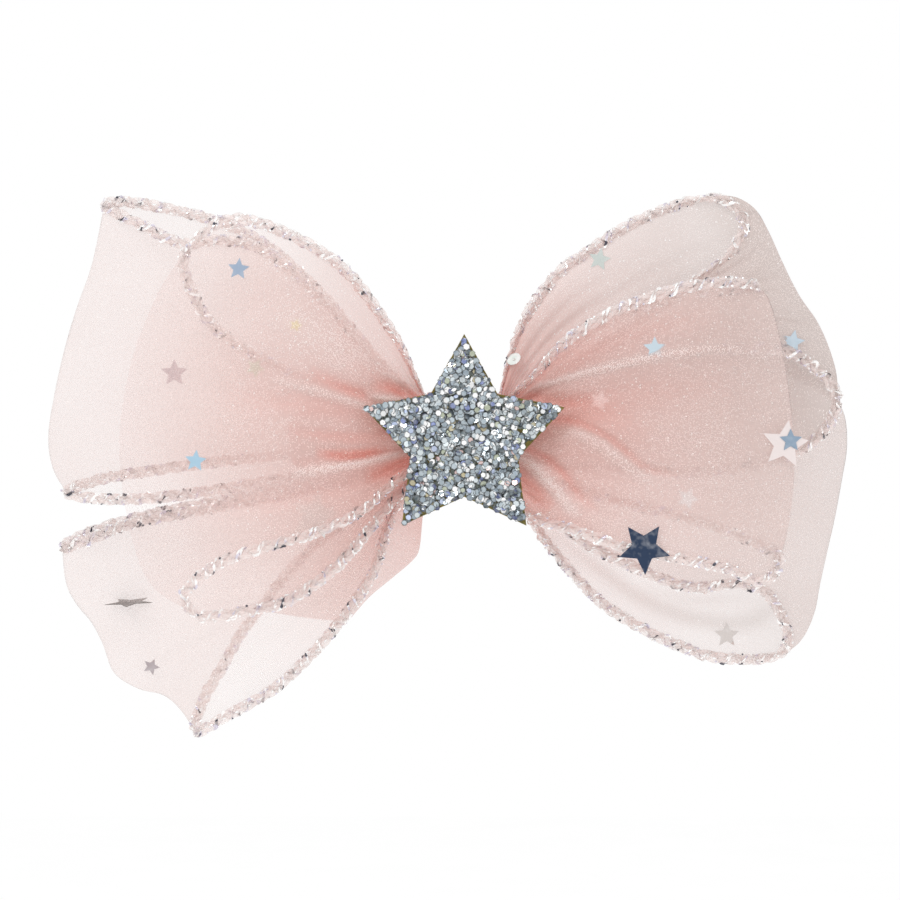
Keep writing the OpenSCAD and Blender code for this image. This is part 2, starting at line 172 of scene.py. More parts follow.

# Folds pressed into the front layers beside the star: width, depth, colour and [x, z] points.
# A positive depth goes back, painted darker as shade; a negative one is a ridge painted pale as
# highlight.
CREASES = {
    "left_front": [
        (0.8, 1.0, 0.50, [(-5.4, 5.6), (-8.4, 6.6), (-12.6, 7.6)]),
        (0.6, -0.9, -0.45, [(-7.0, 5.2), (-10.4, 5.5), (-13.6, 6.0)]),
        (0.7, -1.0, -0.34, [(-10.6, 3.6), (-14.2, 4.8), (-19.4, 6.4), (-26.0, 8.2)]),
        (0.8, 1.0, 0.34, [(-11.4, 5.6), (-15.4, 6.8), (-20.9, 9.2)]),
        (0.7, 1.5, 0.75, [(-10.6, -1.3), (-13.5, -1.9), (-16.4, -2.1), (-20.0, -1.6)]),
        (0.6, -1.2, -0.62, [(-6.4, -1.2), (-12.0, -2.6), (-18.1, -3.8), (-23.0, -4.6)]),
        (1.1, 1.4, 0.50, [(-5.6, -2.4), (-9.4, -3.9), (-13.4, -5.2)]),
        (0.9, 0.6, 0.26, [(-7.4, 0.8), (-12.0, 0.4), (-18.0, 0.6), (-25.0, 1.6)]),
        (1.9, -0.8, -0.16, [(-10.0, 2.0), (-17.0, 2.8), (-27.0, 3.0)]),
        (1.8, 0.8, 0.14, [(-14.0, 3.4), (-24.0, 4.6), (-34.0, 6.2)]),
        (2.6, -0.8, -0.14, [(-12.0, 8.6), (-20.0, 13.6), (-27.0, 18.6)]),
        (1.6, 0.9, 0.12, [(-16.0, -6.4), (-26.0, -8.2), (-36.0, -9.4)]),
    ],
    "right_front": [
        (0.5, 1.2, 0.30, [(8.6, 2.9), (14.4, 2.5), (18.3, 0.9), (21.4, -1.3), (24.2, -3.7),
                          (28.4, -4.8)]),
        (2.2, 0.6, 0.16, [(9.0, 5.0), (15.0, 4.4), (20.0, 2.6), (25.0, -1.0)]),
        (1.0, -0.9, -0.24, [(8.0, 1.4), (14.0, 1.2), (18.0, -0.6), (21.0, -3.0), (26.0, -6.4)]),
        (0.5, 1.2, 0.32, [(5.6, -0.4), (8.7, -1.3), (11.3, -2.6), (13.5, -4.6), (15.6, -7.4),
                          (18.0, -9.6)]),
        (0.8, -1.0, -0.60, [(6.4, -2.0), (9.0, -3.6), (12.0, -6.6), (15.4, -10.6)]),
        (1.6, 1.0, 0.50, [(6.0, -3.4), (8.8, -6.8), (11.4, -9.8)]),
        (1.0, 0.8, 0.36, [(4.8, 5.0), (8.8, 5.6), (13.4, 5.2), (18.0, 5.4)]),
        (0.5, -0.7, -0.40, [(8.0, 6.4), (13.0, 8.1), (20.0, 9.9), (27.0, 11.3), (35.0, 12.2),
                            (41.0, 11.0)]),
        (1.6, 0.5, 0.16, [(9.0, 8.4), (16.0, 11.6), (25.0, 14.8), (35.0, 16.6)]),
        (2.0, 0.5, 0.10, [(17.0, 6.4), (26.0, 6.6), (36.0, 8.0)]),
    ],
}

# Soft grey shade where a rear layer curves away from the light: width, depth and [x, z] points
SHADES = {
    "right_upper": [
        (3.4, 0.20, [(8.6, 11.0), (13.0, 15.4), (19.0, 19.2), (26.0, 22.6), (34.0, 25.0)]),
        (1.6, 0.12, [(37.6, 27.2), (36.4, 30.0), (33.4, 31.6)]),
    ],
    "right_lower": [
        (1.3, 0.30, [(12.7, -13.4), (19.0, -18.0), (24.6, -22.0), (31.8, -24.8), (39.0, -25.4),
                     (43.6, -23.0)]),
        (0.9, 0.14, [(26.0, -20.6), (32.0, -22.2), (38.0, -22.2)]),
    ],
}


# ---------------------------------------------------------------- curves and meshes

def spline(points, per_span=SPAN):
    """Catmull-Rom curve through points, sampled evenly in each span."""
    p = np.asarray(points, float)
    ends = np.vstack([2 * p[0] - p[1], p, 2 * p[-1] - p[-2]])
    f = np.linspace(0, 1, per_span, endpoint=False)[:, None]
    spans = []
    for a, b, c, d in zip(ends, ends[1:], ends[2:], ends[3:]):
        spans.append(b + f / 2 * (c - a + f * (2 * a - 5 * b + 4 * c - d
                                               + f * (3 * b - 3 * c + d - a))))
    return np.vstack(spans + [p[-1:]])


def lengths(path):
    """Distance along a path at each of its points."""
    return np.concatenate([[0], np.cumsum(np.linalg.norm(np.diff(path, axis=0), axis=1))])


def resample(path, count):
    """The path again as count points evenly spaced along its length."""
    at = lengths(path)
    want = np.linspace(0, at[-1], count)
    return np.stack([np.interp(want, at, path[:, k]) for k in range(path.shape[1])], axis=1)


def edge_curve(front, turn, back):
    """An edge of a loop at each grid row, spaced evenly from root to fold and back."""
    curve = spline([*front, turn, *back])
    fold = SPAN * len(front)
    return np.vstack([resample(curve[:fold + 1], FOLD_ROW + 1)[:-1],
                      resample(curve[fold:], FOLD_ROW + 1)])


def new_object(name, verts, faces, body=BOW, smooth=True):
    """A mesh object from points in millimetres, riding on a body if one is named."""
    mesh = bpy.data.meshes.new(name)
    verts = np.asarray(verts, float) * MM
    mesh.from_pydata(verts.tolist(), [], [list(map(int, f)) for f in faces])
    mesh.validate()
    mesh.polygons.foreach_set("use_smooth", [smooth] * len(mesh.polygons))
    obj = bpy.data.objects.new(name, mesh)
    bpy.context.scene.collection.objects.link(obj)
    if body:
        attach(obj, body)
    return obj


def point_values(obj, name, values):
    """Stores one number per point, which a material reads by name."""
    layer = obj.data.attributes.new(name, "FLOAT", "POINT")
    layer.data.foreach_set("value", np.asarray(values, np.float32).ravel())


def uv_map(obj, name, values):
    """A UV map from a pair of values per point."""
    layer = obj.data.uv_layers.new(name=name)
    index = np.empty(len(obj.data.loops), np.int32)
    obj.data.loops.foreach_get("vertex_index", index)
    layer.data.foreach_set("uv", values[index].astype(np.float32).ravel())


def point_colours(obj, name, colours):
    layer = obj.data.attributes.new(name, "FLOAT_COLOR", "POINT")
    rgba = np.ones((len(colours), 4), np.float32)
    rgba[:, :3] = colours
    layer.data.foreach_set("color", rgba.ravel())


def unit(v):
    return v / np.maximum(np.linalg.norm(v, axis=-1, keepdims=True), 1e-9)


def carried_frame(path):
    """Two unit vectors square to a path at each point, carried along it without twist."""
    way = unit(np.gradient(path, axis=0))
    first = np.cross(way[0], [0.31, 0.87, 0.38])
    side = [unit(first)]
    for t in way[1:]:
        side.append(unit(side[-1] - t * np.dot(side[-1], t)))
    side = np.array(side)
    return side, np.cross(way, side)


def ring_faces(rings, around, closed=False, flip=False, capped=False):
    """Faces that join rings of points, each to the next, and the last to the first if closed."""
    i, k = np.meshgrid(np.arange(rings - (not closed)), np.arange(around), indexing="ij")
    a, b = i * around, (i + 1) % rings * around
    nxt = (k + 1) % around
    faces = np.stack([a + k, a + nxt, b + nxt, b + k], axis=-1).reshape(-1, 4)
    faces = (faces[:, ::-1] if flip else faces).tolist()
    if capped:
        first = list(range(around))
        faces += [first[::-1], [(rings - 1) * around + k for k in first]]
    return faces


def tube(path, radius, sides=8, flat=1.0, twist=None):
    """Points and faces of a closed tube; flat squashes its section, twist turns it."""
    path = np.asarray(path, float)
    a, b = carried_frame(path)
    radius = np.broadcast_to(radius, len(path))[:, None, None]
    angle = np.arange(sides) * 2 * math.pi / sides
    x, y = np.cos(angle)[None, :, None], flat * np.sin(angle)[None, :, None]
    if twist is not None:
        c, s = np.cos(twist)[:, None], np.sin(twist)[:, None]
        a, b = a * c + b * s, b * c - a * s
    ring = path[:, None] + radius * (x * a[:, None] + y * b[:, None])
    return ring.reshape(-1, 3), ring_faces(len(path), sides, capped=True)


def joined(parts):
    """Several (points, faces) as one."""
    verts, faces, start = [], [], 0
    for v, f in parts:
        verts.append(v)
        faces += [[i + start for i in face] for face in f]
        start += len(v)
    return np.vstack(verts), faces


def node_box(node):
    """The centre and the half size of a CAD node's box."""
    low, high = (np.array(corner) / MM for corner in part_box(node))
    return (low + high) / 2, (high - low) / 2


# ---------------------------------------------------------------- node materials

class Nodes:
    """Short names for building a node material."""

    def __init__(self, name):
        self.mat = bpy.data.materials.new(name)
        self.mat.use_nodes = True
        self.tree = self.mat.node_tree
        self.tree.nodes.clear()
        self.out = self.add("OutputMaterial")

    def put(self, socket, value):
        if isinstance(value, bpy.types.NodeSocket):
            self.tree.links.new(value, socket)
        elif value is not None:
            socket.default_value = value

    def add(self, kind, inputs=None, **settings):
        """A new node with its settings, and its inputs by name or number."""
        node = self.tree.nodes.new("ShaderNode" + kind)
        for key, value in settings.items():
            setattr(node, key, value)
        for key, value in (inputs or {}).items():
            self.put(node.inputs[key], value)
        return node

    def math(self, operation, a, b=None, c=None):
        return self.add("Math", {0: a, 1: b, 2: c}, operation=operation).outputs[0]

    def times(self, a, b):
        return self.math("MULTIPLY", a, b)

    def plus(self, a, b):
        return self.math("ADD", a, b)

    def mix(self, factor, a, b):
        return self.add("Mix", {0: factor, 6: a, 7: b}, data_type="RGBA").outputs[2]

    def band(self, value, low, high, to_low=0.0, to_high=1.0):
        return self.add("MapRange", {0: value, 1: low, 2: high, 3: to_low, 4: to_high}).outputs[0]

    def place(self, uv=None, scale=(1, 1, 1)):
        """Coordinates in metres: the object's own, or a named UV map's."""
        if uv:
            source = self.add("UVMap", uv_map=uv).outputs[0]
        else:
            source = self.add("TexCoord").outputs["Object"]
        return self.add("Mapping", {"Vector": source, "Scale": scale}).outputs[0]

    def noise(self, where, scale, detail=2.0, rough=0.5):
        return self.add("TexNoise", {"Vector": where, "Scale": scale, "Detail": detail,
                                     "Roughness": rough}).outputs["Fac"]

    def cells(self, where, scale, dimensions="3D"):
        node = self.add("TexVoronoi", {"Vector": where, "Scale": scale},
                        voronoi_dimensions=dimensions)
        split = self.add("SeparateColor", {0: node.outputs["Color"]})
        return node.outputs["Distance"], split.outputs

    def value(self, name):
        return self.add("Attribute", attribute_name=name).outputs["Fac"]

    def colour(self, name):
        return self.add("Attribute", attribute_name=name).outputs["Color"]

    def bump(self, height, strength, distance):
        return self.add("Bump", {"Height": height, "Strength": strength,
                                 "Distance": distance}).outputs[0]

    def principled(self, **sockets):
        return self.add("BsdfPrincipled", {key.replace("_", " "): value
                                           for key, value in sockets.items()}).outputs[0]

    def simple(self, kind, colour):
        """A shader that takes only a colour."""
        return self.add("Bsdf" + kind, {"Color": colour}).outputs[0]

    def shade(self, factor, a, b):
        return self.add("MixShader", {0: factor, 1: a, 2: b}).outputs[0]

    def finish(self, shader):
        self.put(self.out.inputs["Surface"], shader)
        return self.mat

    def paint(self, colour, **sockets):
        """Finishes the material with one principled shader."""
        return self.finish(self.principled(Base_Color=colour, **sockets))


def rgb(r, g, b):
    """A screen colour, 0 to 255, as the linear colour that a shader takes."""
    def linear(c):
        c /= 255
        return c / 12.92 if c <= 0.04045 else ((c + 0.055) / 1.055) ** 2.4
    return (linear(r), linear(g), linear(b), 1.0)


def organza():
    """Sheer weave that lets most light through, with glitter grains printed on it."""
    n = Nodes("organza")
    cloth = n.place("cloth")
    split = n.add("SeparateXYZ", {0: cloth}).outputs
    thread_gap = 0.00027
    warp, weft = (n.math("SINE", n.times(split[k], 2 * math.pi / thread_gap))
                  for k in (0, 1))
    weave = n.math("MULTIPLY_ADD", n.plus(warp, weft), 0.25, 0.5)
    gather, fold, veil_and_shade = n.value("gather"), n.value("fold"), n.value("veil_and_shade")
    cloudy, grain, uneven = n.noise(cloth, 160, 3), n.noise(cloth, 2600, 2), n.noise(cloth, 75, 2)
    # fold paints shade where positive, in pleat and crease valleys, and highlight where negative, on
    # their ridges
    ridge_highlight = n.math("MAXIMUM", n.times(fold, -1.0), 0.0)
    # Glitter: fine grains all over, denser in patches and, as painted highlight, on ridges; fewer
    # coarse ones
    fine_d, fine = n.cells(cloth, 5200, "2D")
    coarse_d, coarse = n.cells(cloth, 1900, "2D")
    patches = n.math("SUBTRACT", n.band(uneven, 0.35, 0.65, 0.86, 0.52), ridge_highlight)
    fine_on = n.times(n.math("GREATER_THAN", fine[0], patches), n.math("LESS_THAN", fine_d, 0.42))
    fine_on = n.times(fine_on, n.math("MULTIPLY_ADD", ridge_highlight, 0.9, 0.42))
    coarse_on = n.times(n.math("GREATER_THAN", coarse[0], 0.955),
                        n.math("LESS_THAN", coarse_d, 0.2))
    spark = n.times(n.math("MAXIMUM", fine_on, coarse_on), n.band(veil_and_shade, -0.16, 0.0, 0.35, 1.0))
    # Deeper pink where the cloth is gathered, which is real, and where fold paints shade
    depth = n.band(n.math("MULTIPLY_ADD", gather, 0.65, fold), 0.03, 0.98)
    pale = n.mix(cloudy, rgb(233, 218, 214), rgb(240, 226, 222))
    # Painted shade: the cloth greys where the veil value is positive
    pale = n.mix(n.times(n.math("MAXIMUM", veil_and_shade, 0.0), 2.2), pale, rgb(219, 211, 207))
    tone = n.mix(depth, pale, rgb(250, 178, 165))
    # Painted highlight: paler on the crease ridges
    tone = n.mix(n.math("MINIMUM", n.times(ridge_highlight, 1.6), 0.8), tone, rgb(252, 228, 222))
    tone = n.mix(n.band(weave, 0.0, 1.0, 0.0, 0.16), tone, rgb(250, 236, 232))
    tone = n.mix(spark, tone, rgb(255, 250, 248))
    solid = n.principled(Base_Color=tone, Roughness=0.55, Specular_IOR_Level=0.3,
                         Sheen_Weight=0.15, Sheen_Roughness=0.4)
    clear = n.simple("Transparent", n.mix(gather, rgb(255, 254, 254), rgb(253, 246, 244)))
    cover = n.band(weave, 0.0, 1.0, 0.17, 0.24)
    for more in (n.times(n.math("POWER", gather, 0.8), 0.43), veil_and_shade,
                 n.band(uneven, 0.3, 0.7, 0.05, -0.05),
                 n.times(n.math("SUBTRACT", grain, 0.5), 0.25), n.times(spark, 0.6)):
        cover = n.plus(cover, more)
    cover = n.math("MINIMUM", n.math("MAXIMUM", cover, 0.02), 0.95)
    return n.finish(n.shade(cover, clear, n.shade(0.5, solid, n.simple("Translucent", tone))))


def yarn():
    """Half-clear pink braid yarn: twisted plies with a little fuzz."""
    n = Nodes("yarn")
    split = n.add("SeparateXYZ", {0: n.place("strand")}).outputs
    ply_pitch = 0.0005
    ply = n.math("SINE", n.math("MULTIPLY_ADD", split[0], 2 * math.pi / ply_pitch,
                                n.times(split[1], 4 * math.pi)))
    fuzz = n.noise(n.place(), 5200, 4, 0.7)
    tone = n.mix(n.band(ply, -1, 1), rgb(246, 226, 223), rgb(255, 244, 241))
    tone = n.mix(n.band(fuzz, 0.35, 0.7), tone, rgb(255, 250, 247))
    tone = n.mix(n.times(n.value("pinch"), 0.7), tone, rgb(240, 200, 192))
    height = n.plus(n.times(ply, 0.5), fuzz)
    solid = n.principled(Base_Color=tone, Roughness=0.6, Sheen_Weight=0.6,
                         Sheen_Roughness=0.4, Normal=n.bump(height, 0.25, 0.0001))
    return n.finish(n.shade(0.42, n.simple("Transparent", (1, 1, 1, 1)),
                            n.shade(0.25, solid, n.simple("Translucent", tone))))


def lurex():
    """Flat metallised thread that flashes as it turns, with dark reflections painted into its colour
    in spots.
    """
    n = Nodes("lurex")
    _, cell = n.cells(n.place(), 1500)
    # Painted reflection: random dark spots in the colour stand for dark things that the metal would
    # reflect
    tone = n.mix(n.math("GREATER_THAN", cell[0], 0.92), rgb(253, 251, 250), rgb(84, 84, 94))
    tone = n.mix(n.math("GREATER_THAN", cell[1], 0.82), tone, rgb(222, 216, 228))
    return n.paint(tone, Metallic=0.6, Roughness=0.24)


def foil():
    """Pressed metallised film, each star with its own tint."""
    n = Nodes("foil")
    tint = n.colour("tint")
    wrinkle = n.noise(n.place(), 900, 3)
    tone = n.mix(n.band(wrinkle, 0.5, 0.8, 0.0, 0.22), tint, rgb(250, 250, 252))
    return n.paint(tone, Metallic=0.6, Roughness=0.25, Normal=n.bump(wrinkle, 0.25, 0.0002))


def flakes():
    """Hexagonal glitter flakes, each with its own tint."""
    n = Nodes("flakes")
    tint = n.colour("tint")
    # The flakes turn paler towards white in noise patches
    pale_patches = n.noise(n.place(), 2600, 2)
    tone = n.mix(n.band(pale_patches, 0.3, 0.8, 0.0, 0.25), tint, rgb(255, 255, 255))
    return n.paint(tone, Metallic=0.55, Roughness=0.24, Coat_Weight=0.3, Coat_Roughness=0.1)


def glitter_bed():
    """A dark green-grey bed with gold specks that shows in the gaps between the flakes."""
    n = Nodes("glitter_bed")
    _, cell = n.cells(n.place(), 2300)
    tone = n.mix(cell[0], rgb(66, 78, 70), rgb(150, 158, 150))
    tone = n.mix(n.math("GREATER_THAN", cell[1], 0.85), tone, rgb(120, 106, 44))
    return n.paint(tone, Roughness=0.35, Metallic=0.3, Normal=n.bump(cell[2], 0.6, 0.0002))


def gold_foam():
    """The star's foam backing with olive-gold flecks, seen as a thin rim."""
    n = Nodes("gold_foam")
    _, cell = n.cells(n.place(), 2600)
    soft = n.noise(n.place(), 1200, 3)
    tone = n.mix(cell[0], rgb(84, 76, 28), rgb(160, 140, 66))
    tone = n.mix(n.band(soft, 0.3, 0.8), tone, rgb(118, 112, 62))
    return n.paint(tone, Roughness=0.5, Metallic=0.35, Normal=n.bump(cell[2], 0.5, 0.0002))


def satin():
    """Pink satin ribbon: fine ribs one way and a soft gloss."""
    n = Nodes("satin")
    rib = n.add("TexWave", {"Vector": n.place(), "Scale": 900, "Distortion": 0.6},
                bands_direction="X").outputs["Fac"]
    cloudy = n.noise(n.place(), 240, 3)
    tone = n.mix(n.band(rib, 0, 1, 0, 0.3), rgb(232, 180, 176), rgb(250, 214, 210))
    tone = n.mix(n.band(cloudy, 0.3, 0.8, 0, 0.25), tone, rgb(218, 160, 156))
    return n.paint(tone, Roughness=0.42, Sheen_Weight=0.5, Sheen_Roughness=0.35,
                   Normal=n.bump(rib, 0.35, 0.00008))


def felt():
    """Pressed wool felt with short loose fibres."""
    n = Nodes("felt")
    fibre = n.noise(n.place(scale=(1, 1, 4)), 1500, 6, 0.75)
    tone = n.mix(n.band(fibre, 0.3, 0.7), rgb(216, 168, 164), rgb(244, 214, 210))
    return n.paint(tone, Roughness=0.95, Sheen_Weight=0.6, Sheen_Roughness=0.6,
                   Normal=n.bump(fibre, 0.9, 0.0004))


def nickel(name, low, high, roughness):
    """Nickel-plated steel with rolling marks and faint stains."""
    n = Nodes(name)
    marks = n.noise(n.place(scale=(1, 12, 12)), 700, 5, 0.65)
    stain = n.noise(n.place(), 160, 3)
    tone = n.mix(n.band(marks, 0.35, 0.65), low, high)
    tone = n.mix(n.band(stain, 0.5, 0.8, 0.0, 0.3), tone, rgb(150, 146, 140))
    rough = n.band(marks, 0.3, 0.7, roughness - 0.06, roughness + 0.08)
    return n.paint(tone, Metallic=1.0, Roughness=rough, Normal=n.bump(marks, 0.15, 0.00005))


def sequin_film():
    n = Nodes("sequin_film")
    sheen = n.noise(n.place(), 800, 2)
    tone = n.mix(n.band(sheen, 0.3, 0.7), rgb(226, 236, 230), rgb(252, 252, 250))
    return n.paint(tone, Roughness=0.2, Metallic=0.1, Coat_Weight=0.5, Coat_Roughness=0.08)


def glue():
    n = Nodes("glue")
    haze = n.noise(n.place(), 500, 3)
    tone = n.mix(haze, rgb(236, 232, 218), rgb(214, 208, 190))
    return n.paint(tone, Roughness=0.3, Subsurface_Weight=0.2, Normal=n.bump(haze, 0.3, 0.0003))


def thread():
    n = Nodes("thread")
    twist = n.noise(n.place(scale=(6, 1, 1)), 2400, 3)
    tone = n.mix(twist, rgb(226, 196, 192), rgb(250, 236, 232))
    return n.paint(tone, Roughness=0.8, Normal=n.bump(twist, 0.6, 0.0001))


def floor_paint():
    n = Nodes("floor_paint")
    speck = n.noise(n.place(), 40, 2)
    tone = n.mix(speck, (0.30, 0.30, 0.30, 1), (0.32, 0.32, 0.32, 1))
    return n.paint(tone, Roughness=0.9, Specular_IOR_Level=0.0, Emission_Color=(1, 1, 1, 1),
                   Emission_Strength=0.74)


def dress(obj, material):
    obj.data.materials.clear()
    obj.data.materials.append(material)


MATERIALS = {
    "organza": organza(), "yarn": yarn(), "lurex": lurex(), "foil": foil(), "flakes": flakes(),
    "bed": glitter_bed(), "foam": gold_foam(), "satin": satin(), "felt": felt(),
    "nickel": nickel("nickel", rgb(176, 176, 180), rgb(214, 214, 218), 0.28),
    "wire": nickel("wire", rgb(120, 120, 124), rgb(170, 170, 174), 0.24),
    "sequin": sequin_film(), "glue": glue(), "thread": thread(),
}


def add_piece(name, shape, material, slot, node=None, **settings):
    """A visible piece with its material, in place of a CAD node if one is named; slot is not used.
    """
    obj = new_object(name, *shape, **settings)
    dress(obj, MATERIALS[material])
    if node:
        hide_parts(node)
    return obj


# ---------------------------------------------------------------- camera, floor and light

def make_camera():
    """Looks straight at the bow's face through a long lens."""
    lens = 150.0
    sensor = 36.0
    seen_w = 121.5          # width of the view at the depth of the ribbon's edges
    plane_y = -18.0
    cam = bpy.data.cameras.new("camera")
    cam.lens = lens
    cam.sensor_width = sensor
    cam.clip_start = 0.01
    obj = bpy.data.objects.new("camera", cam)
    distance = seen_w * lens / sensor
    obj.location = Vector((-1.9, plane_y - distance, -1.35)) * MM
    obj.rotation_euler = (math.pi / 2, 0, 0)
    bpy.context.scene.collection.objects.link(obj)
    bpy.context.scene.camera = obj


def make_floor():
    drop = 0.16
    half = 1.1
    mesh = bpy.data.meshes.new("floor")
    corners = [(-half, -half, -drop), (half, -half, -drop), (half, half, -drop),
               (-half, half, -drop)]
    mesh.from_pydata(corners, [], [(0, 1, 2, 3)])
    floor = bpy.data.objects.new("floor", mesh)
    bpy.context.scene.collection.objects.link(floor)
    dress(floor, floor_paint())


def area_light(name, place, size, power):
    lamp = bpy.data.lights.new(name, "AREA")
    lamp.size = size
    lamp.energy = power
    obj = bpy.data.objects.new(name, lamp)
    obj.location = place
    obj.rotation_euler = (-Vector(place)).to_track_quat("-Z", "Y").to_euler()
    bpy.context.scene.collection.objects.link(obj)


def make_light():
    world = bpy.data.worlds.new("studio")
    world.use_nodes = True
    tree = world.node_tree
    sky = tree.nodes["Background"]
    sky.inputs[0].default_value = (1, 1, 1, 1)
    # The backdrop is white to look at and gives a softer light
    path = tree.nodes.new("ShaderNodeLightPath")
    level = tree.nodes.new("ShaderNodeMapRange")
    level.inputs["To Min"].default_value = 0.8
    level.inputs["To Max"].default_value = 1.0
    tree.links.new(path.outputs["Is Camera Ray"], level.inputs["Value"])
    tree.links.new(level.outputs[0], sky.inputs[1])
    bpy.context.scene.world = world
    bpy.context.scene.view_settings.view_transform = "Standard"
    area_light("key", (-0.35, -0.55, 0.55), 0.25, 2.2)
    area_light("fill", (0.6, -0.5, 0.1), 0.5, 0.5)


make_camera()
make_floor()
make_light()


# ---------------------------------------------------------------- ribbon loops

def loop_grid(name):
    """A loop's ribbon as a grid of points, with how gathered it is and the shade and highlight
    painted on its pleats and creases.
    """
    spec = LOOPS[name]
    rng = random.Random(spec["seed"])
    top, bottom = edge_curve(*spec["top"]), edge_curve(*spec["bottom"])
    s = np.linspace(0, 1, ROWS + 1)[:, None]
    t = np.linspace(0, 1, COLS + 1)[None, :]
    depth = spline([[d] for d in DEPTH[spec["tier"]]], 60)
    y0 = np.interp(s[:, 0], np.linspace(0, 1, len(depth)), depth[:, 0])[:, None]
    middle = 4 * t * (1 - t)
    turn_top, turn_bottom = spec["top"][1], spec["bottom"][1]
    sight = resample(spline([turn_top] + spec["fold"] + [turn_bottom]), COLS + 1)
    chord = np.array(turn_top) * (1 - t.T) + np.array(turn_bottom) * t.T
    bow = (sight - chord)[None] * (np.sin(math.pi * s) ** 4)[:, :, None]
    x = top[:, :1] * (1 - t) + bottom[:, :1] * t + bow[:, :, 0]
    z = top[:, 1:] * (1 - t) + bottom[:, 1:] * t + bow[:, :, 1]
    if "roll" in spec:
        # The rear layer rolls out past the front edge before it turns back to its own
        out = resample(spline([turn_bottom] + spec["roll"]), FOLD_ROW + 1)
        share = np.sin(math.pi * np.clip((t - 0.62) / 0.38, 0, 1)) ** 1.5
        share = share * np.clip(np.arange(FOLD_ROW + 1) / FOLD_ROW * 5 - 1.6, 0, 1)[:, None]
        x[FOLD_ROW:] += (out[:, :1] - x[FOLD_ROW:]) * share
        z[FOLD_ROW:] += (out[:, 1:] - z[FOLD_ROW:]) * share
    turn = np.sin(2 * math.pi * s)
    y = y0 - spec["puff"] * middle * turn * np.where(turn > 0, turn, 0.6)
    reach = np.clip(np.hypot(x, z * 0.6) - ROOT_X, 0, None)
    pleat = np.zeros_like(x)
    front = s < 0.5
    pleats = FRONT_PLEATS if spec["tier"] == "front" else REAR_PLEATS
    for layer, depth_share in zip((front, ~front), spec["pleat"]):
        for waves, swing, far in pleats:
            phase, drift = rng.uniform(0, 2 * math.pi), rng.uniform(-0.5, 0.5)
            wave = np.sin(2 * math.pi * waves * t + phase + drift * reach / 10)
            pleat += np.where(layer, wave * swing * depth_share * np.exp(-reach / far), 0)
    settle = np.clip(reach / 2.5, 0, 1) * np.clip(np.abs(s - 0.5) / 0.08, 0, 1)
    settle = settle * (1 - 0.6 * np.abs(2 * t - 1) ** 8)
    y = y + pleat * settle
    # Soft unevenness of the cloth
    ripple = np.zeros_like(x)
    for i in range(ROWS + 1):
        for j in range(COLS + 1):
            ripple[i, j] = noise.noise(Vector((x[i, j] * 0.09, z[i, j] * 0.09,
                                               spec["seed"] + 3.0 * (i > FOLD_ROW))))
    y = y + ripple * 0.7 * np.clip(reach / 12, 0, 1)
    gather = np.exp(-reach / 18) * (0.85 if spec["tier"] == "lower" else 1)
    # The fold value is painted shade, deeper pink in the front pleats' and creases' valleys, and
    # painted highlight, paler, on their ridges
    fold = np.clip(pleat * 0.35, -0.2, 0.3) * np.exp(-reach / 14) * (spec["tier"] == "front")
    for width, deep, tone, points in CREASES.get(name, []):
        near, along = distance_to(spline(points, 12), x[:FOLD_ROW], z[:FOLD_ROW])
        shape = np.exp(-(near / width) ** 2) * np.sin(math.pi * np.clip(along, 0.03, 1)) ** 0.6
        y[:FOLD_ROW] += deep * shape
        fold[:FOLD_ROW] += 1.15 * tone * shape
    return np.stack([x, y, z], axis=-1), gather, fold


def distance_to(path, x, z):
    """Each point's distance from a path in the picture plane, and how far along it is."""
    near = np.full(x.shape, np.inf)
    along = np.zeros(x.shape)
    for k, (a, b) in enumerate(zip(path, path[1:])):
        way = b - a
        share = np.clip(((x - a[0]) * way[0] + (z - a[1]) * way[1]) / (way @ way), 0, 1)
        gap = np.hypot(x - a[0] - share * way[0], z - a[1] - share * way[1])
        closer = gap < near
        near[closer] = gap[closer]
        along[closer] = (k + share[closer]) / (len(path) - 1)
    return near, along


def grid_faces(rows, cols):
    i, j = np.meshgrid(np.arange(rows), np.arange(cols), indexing="ij")
    a = i * (cols + 1) + j
    return np.stack([a, a + 1, a + cols + 2, a + cols + 1], axis=-1).reshape(-1, 4)


def bead(place, way, radius):
    """A small bead: a short closed tube that swells in the middle."""
    at = np.linspace(-1, 1, 5)
    return tube(place + np.outer(at * radius, way), radius * np.sqrt(1 - 0.84 * at ** 2), 6)


